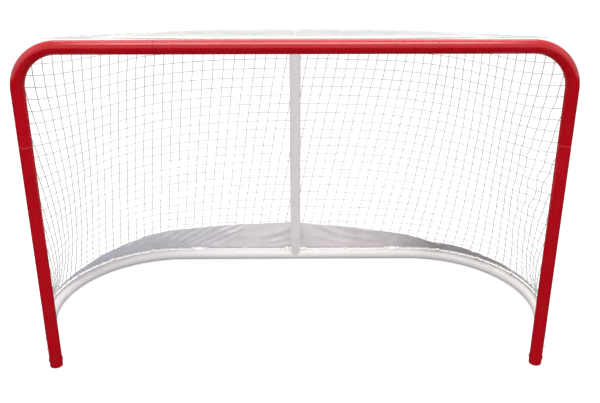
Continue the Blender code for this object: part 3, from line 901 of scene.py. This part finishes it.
def buildTopNet():
    edge = netEdges()[0]
    startY = topNet["firstRow"]
    outline = [(point.x, point.y - frontY) for point in edge]

    def halfWidth(y):
        widest = 0.0
        for (x1, y1), (x2, y2) in zip(outline, outline[1:]):
            if x1 < 0 and min(y1, y2) <= y <= max(y1, y2) and y1 != y2:
                widest = max(widest, -(x1 + (x2 - x1) * (y - y1) / (y2 - y1)))
        return widest

    backY = max(y for x, y in outline)
    runs, knots = [], []
    rows = [startY + net["cell"] * index for index in range(int((backY - startY) / net["cell"]) + 1)]

    def topPoint(x, y):
        width = max(halfWidth(y), 0.001)
        dip = topNet["sag"] * max(0, 1 - (x / width) ** 2) * math.sin(math.pi * clamp(y / backY))
        wave = noise.noise_vector(Vector((x * topNet["wave"], y * topNet["wave"], 12.3))) * topNet["waveSize"]
        return Vector((x, frontY + y, topHeight(x, y) - dip)) + Vector((wave.x, wave.y, 0))

    for y in rows:
        width = halfWidth(y)
        count = int(width / net["cell"])
        xs = [-width] + [net["cell"] * step / 2 for step in range(-2 * count, 2 * count + 1)] + [width]
        runs.append([topPoint(x, y) for x in xs])
        knots += [topPoint(net["cell"] * step, y) for step in range(-count, count + 1)]
    widest = halfWidth(startY)
    count = int(widest / net["cell"])
    for step in range(-count, count + 1):
        x = net["cell"] * step
        ys = []
        y = startY
        while y < backY and halfWidth(y) >= abs(x):
            ys.append(y)
            y += net["cell"] / 2
        low, high = ys[-1], min(y, backY)
        for turn in range(net["halvings"]):
            middle = (low + high) / 2
            low, high = (middle, high) if halfWidth(middle) >= abs(x) else (low, middle)
        ys.append(low)
        if len(ys) > 2:
            runs.append([topPoint(x, y) for y in ys])
    item = cordMesh("netTop", runs, net["twine"], 1, "white_twine", "net_top")
    addBlobs(item, knots, net["knot"])
    print("top net made")


# Cords that lace the net to its wires, with a turn at each mesh

lacing = {"radius": 0.0015, "pitch": 0.043, "turn": 0.3, "perTurn": 14, "grip": 0.5, "long": 0.0083,
          "short": 0.0053, "endGap": 0.012, "railStart": 0.50}


def windCord(path, start, end, planeUp, side, centreOut, centreRise, longOut=False):
    marks = measure(path)
    count = max(1, round((end - start) / lacing["pitch"]))
    spacing = (end - start) / count
    outSpan, riseSpan = lacing["short"], lacing["long"]
    if longOut:
        outSpan, riseSpan = riseSpan, outSpan
    points = []
    for index in range(count):
        for step in range(lacing["perTurn"]):
            part = step / lacing["perTurn"]
            squeezed = clamp((part - 0.5 + lacing["turn"] / 2) / lacing["turn"])
            reachAlong = part if not 0 < squeezed < 1 else 0.5 + (part - 0.5) * lacing["grip"]
            angle = math.tau * squeezed + math.pi / 2
            points.append(beside(path, marks, start + spacing * (index + reachAlong), planeUp, side,
                                 centreOut + outSpan * math.cos(angle),
                                 centreRise + riseSpan * math.sin(angle)))
    return points


def lace(name, runs, node):
    cordMesh(name, runs, lacing["radius"], 1, "white_twine", node)
    print(name, "made, cord of", round(sum(measure(run)[-1] for run in runs), 2), "m")


def buildLacings():
    middle = net["beside"] / 2
    path, length = barRun()
    lace("crossbarLacing", [windCord(path, 0, length, up, -1, wireOff * math.cos(wire["barRise"]),
                                     wireOff * math.sin(wire["barRise"]) + middle)], "crossbar_lacing")
    baseRuns, railRuns = [], []
    for side, word, name in sides:
        path = basePath(side)
        baseRuns.append(windCord(path, base["socket"] + wire["clear"], measure(path)[-1] - lacing["endGap"],
                                 up, side, whiteOut, whiteOut + middle))
        path = railPath(side)
        railRuns.append(windCord(path, lacing["railStart"], measure(path)[-1] - lacing["endGap"], railUp,
                                 side, whiteOut + middle, whiteOut, True))
        post = [onPost(side, 0), onPost(side, 1)]
        corner = cornerPath(side)
        first = rail["halfWidth"] + tube["radius"] - front["barSeam"] + 2 * wire["ramp"]
        runs = [windCord(post, 2 * tube["radius"] + wire["clear"],
                         front["postSeam"] - wire["setback"] - wire["clear"], back, 1, 0.0, wireOff + middle),
                windCord(corner, first, measure(corner)[-1] - wire["clear"], back, 1, 0.0, wireOff + middle)]
        lace("postLacing" + name, runs, "post_lacing_" + word)
    lace("baseLacing", baseRuns, "base_lacing")
    lace("railLacing", railRuns, "rail_lacing")


# The skirt: white cloth tied at its foot to the inside of the net

skirt = {"tallest": 0.149, "columns": 480, "rows": 36, "thickness": 0.0011, "clear": 0.0050,
         "outline": ((0.105, 0.07), (0.150, 0.19), (0.188, 0.36), (0.237, 0.56), (0.275, 0.74), (0.308, 0.86),
                     (0.346, 0.88), (0.388, 0.93), (0.425, 0.95), (0.463, 0.97), (0.492, 1.0), (0.537, 0.92),
                     (0.571, 0.85), (0.604, 0.75), (0.637, 0.66), (0.662, 0.57), (0.683, 0.44), (0.704, 0.34),
                     (0.733, 0.32), (0.758, 0.27), (0.800, 0.19), (0.850, 0.13), (0.900, 0.10),
                     (0.935, 0.05)),
         "widthSpare": 1.12, "footLift": 0.003, "normalStep": 0.02,
         "crumple": 0.0035, "billow": 0.006, "foldStart": 0.02, "topHem": 0.4,
         "slants": ((0.36, 0.055, 0.046, -0.62, 0.0150), (0.45, 0.06, 0.060, -0.30, 0.0070),
                    (0.60, 0.10, 0.050, 0.16, 0.0050), (0.26, 0.05, 0.085, -0.80, 0.0080),
                    (0.70, 0.03, 0.036, 0.50, 0.0120), (0.745, 0.035, 0.030, -0.35, 0.0150))}


def skirtHeight(across):
    for (before, low), (after, high) in zip(skirt["outline"], skirt["outline"][1:]):
        if across <= after:
            part = (across - before) / (after - before)
            return skirt["tallest"] * (low + (high - low) * part)
    return skirt["tallest"] * skirt["outline"][-1][1]


def skirtFold(across, run, height, rise):
    # slanting wrinkles where the cloth is drawn up, and crumpling towards its two ends
    fold = 0.0
    bend = noise.noise(Vector((run * 6, height * 8, 5.2)))
    patch = clamp(0.45 + 1.5 * noise.noise(Vector((run * 8, height * 9, 9.4))))
    for middle, width, length, slope, depth in skirt["slants"]:
        mask = math.exp(-((across - middle) / width) ** 2)
        phase = math.tau * (height + slope * run) / length + 5 * bend
        fold += mask * patch * depth * (0.5 + 0.5 * math.sin(phase)) ** 2
    crumple = 0.5 + noise.noise(Vector((run * 19, height * 26, 1.7)))
    fold += skirt["crumple"] * max(crumple, 0) * (0.35 + min(abs(across - 0.5) / 0.25, 1))
    fold += skirt["billow"] * (0.5 + 0.5 * math.sin(run * 11 + 3 * bend)) * rise
    return fold * min(height / skirt["foldStart"], 1) * (1 - skirt["topHem"] * rise ** 6)


def buildSkirt(sheet, ruler):
    foot = [line[-1] for line in sheet]
    marks = measure(foot)
    first, last = skirt["outline"][0][0], skirt["outline"][-1][0]
    form = bmesh.new()
    bmesh.ops.create_grid(form, x_segments=skirt["columns"], y_segments=skirt["rows"], size=0.5)
    flat = form.loops.layers.uv.new("UVMap")
    widths = {}
    for spot in form.verts:
        part, rise = spot.co.x + 0.5, spot.co.y + 0.5
        across = first + (last - first) * part
        tall = skirtHeight(across) * (1 + 0.05 * noise.noise(Vector((across * 40, 0, 2))))
        below = ruler[1][-1] - tall * rise - skirt["footLift"]
        low, high = netSpan(ruler, below)
        x = low + (high - low) * across
        point = netPoint(sheet, ruler, x, below)[0]
        ahead = netPoint(sheet, ruler, min(x + skirt["normalStep"], high), below)[0]
        behind = netPoint(sheet, ruler, max(x - skirt["normalStep"], low), below)[0]
        inward = (ahead - behind).cross(up).normalized()
        run = marks[-1] * across
        spot.co = point + inward * (skirt["clear"] + skirtFold(across, run, tall * rise, rise))
        widths[spot] = (run, tall * rise)
    for face in form.faces:
        for loop in face.loops:
            loop[flat].uv = widths[loop.vert]
    faceOutwards(form)
    item = addPiece("skirtCloth", toMesh("skirtCloth", form), "white_cloth", "skirt")
    thicken = item.modifiers.new("Thickness", "SOLIDIFY")
    thicken.thickness = skirt["thickness"]
    thicken.offset = 0
    width = skirt["tallest"] * skirt["widthSpare"]
    # the flat area of the cut, which has the same share of spare height all along its outline
    steps = zip(skirt["outline"], skirt["outline"][1:])
    area = marks[-1] * width * sum((after - before) * (low + high) / 2
                                   for (before, low), (after, high) in steps)


# Finishes of the nodes that keep their shape

def finishNodes():
    for node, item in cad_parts.items():
        if item.hide_render:
            continue
        slot = "zinc_steel" if "sleeve" in node or "screw" in node else (
            "red_paint" if "rail_spigot" in node or "socket" in node else "white_paint")
        item.data.materials.clear()
        item.data.materials.append(finishes[slot])


# Floor, light and camera

def buildStage():
    light = {"floor": 0.46, "dimFloor": 0.02, "lift": 0.70, "world": 0.70, "aim": (0, 0, 0.6), "lamps": (
        ("topLamp", (0, -3.0, 9.2), 540, 6.0, 5.0), ("rearLamp", (0, 3.0, 7.0), 95, 6.0, 1.5),
        ("leftLamp", (-4.2, -2.0, 3.4), 14, 2.4, 2.4), ("rightLamp", (4.2, -2.0, 3.4), 14, 2.4, 2.4))}
    form = bmesh.new()
    bmesh.ops.create_grid(form, x_segments=1, y_segments=1, size=30)
    floor = newObject("floor", toMesh("floor", form, False))
    item, tree, shader, coords = blankMaterial("floorPaint")
    shader.inputs["Roughness"].default_value = 0.9
    shader.inputs["Specular IOR Level"].default_value = 0.0
    # white to the camera, but dim to glossy rays, so the gloss of the paint stays dark below
    shade = addRange(tree, seenBy(tree, "Is Glossy Ray"), (0, 1), (light["floor"], light["dimFloor"]))
    tree.links.new(shade, shader.inputs["Base Color"])
    seen = seenBy(tree, "Is Camera Ray", "Is Transmission Ray")
    shader.inputs["Emission Color"].default_value = (1, 1, 1, 1)
    tree.links.new(addMath(tree, "MULTIPLY", seen, light["lift"]), shader.inputs["Emission Strength"])
    floor.data.materials.append(item)

    world = bpy.data.worlds.new("studio")
    world.use_nodes = True
    bpy.context.scene.world = world
    tree = world.node_tree
    background = tree.nodes["Background"]
    background.inputs["Color"].default_value = (1, 1, 1, 1)
    seen = seenBy(tree, "Is Camera Ray", "Is Glossy Ray", "Is Transmission Ray")
    tree.links.new(addRange(tree, seen, (0, 1), (light["world"], 1)), background.inputs["Strength"])

    for name, place, energy, width, depth in light["lamps"]:
        lamp = bpy.data.lights.new(name, "AREA")
        lamp.shape = "RECTANGLE"
        lamp.energy = energy
        lamp.size = width
        lamp.size_y = depth
        holder = newObject(name, lamp)
        holder.location = place
        holder.rotation_euler = (Vector(place) - Vector(light["aim"])).to_track_quat("Z", "Y").to_euler()
    print("floor and light set")


def buildCamera():
    view = {"x": -0.009, "before": 2.567, "height": 1.748, "tilt": 90 - 22.42, "roll": 0.02, "pan": -0.53,
            "lens": 46.446}
    camera = bpy.data.cameras.new("camera")
    camera.lens = view["lens"]
    camera.sensor_width = 36
    holder = newObject("camera", camera)
    holder.location = (view["x"], frontY - view["before"], view["height"])
    holder.rotation_euler = [math.radians(view[word]) for word in ("tilt", "roll", "pan")]
    bpy.context.scene.camera = holder


buildFront()
buildBase()
buildRail()
buildScrews()
buildWires()
netSheet = hangSheet()
netMarks = netRuler(netSheet)
buildNet(netSheet, netMarks)
buildTopNet()
buildLacings()
buildSkirt(netSheet, netMarks)
finishNodes()
buildStage()
buildCamera()
bpy.context.scene.view_settings.view_transform = "Standard"
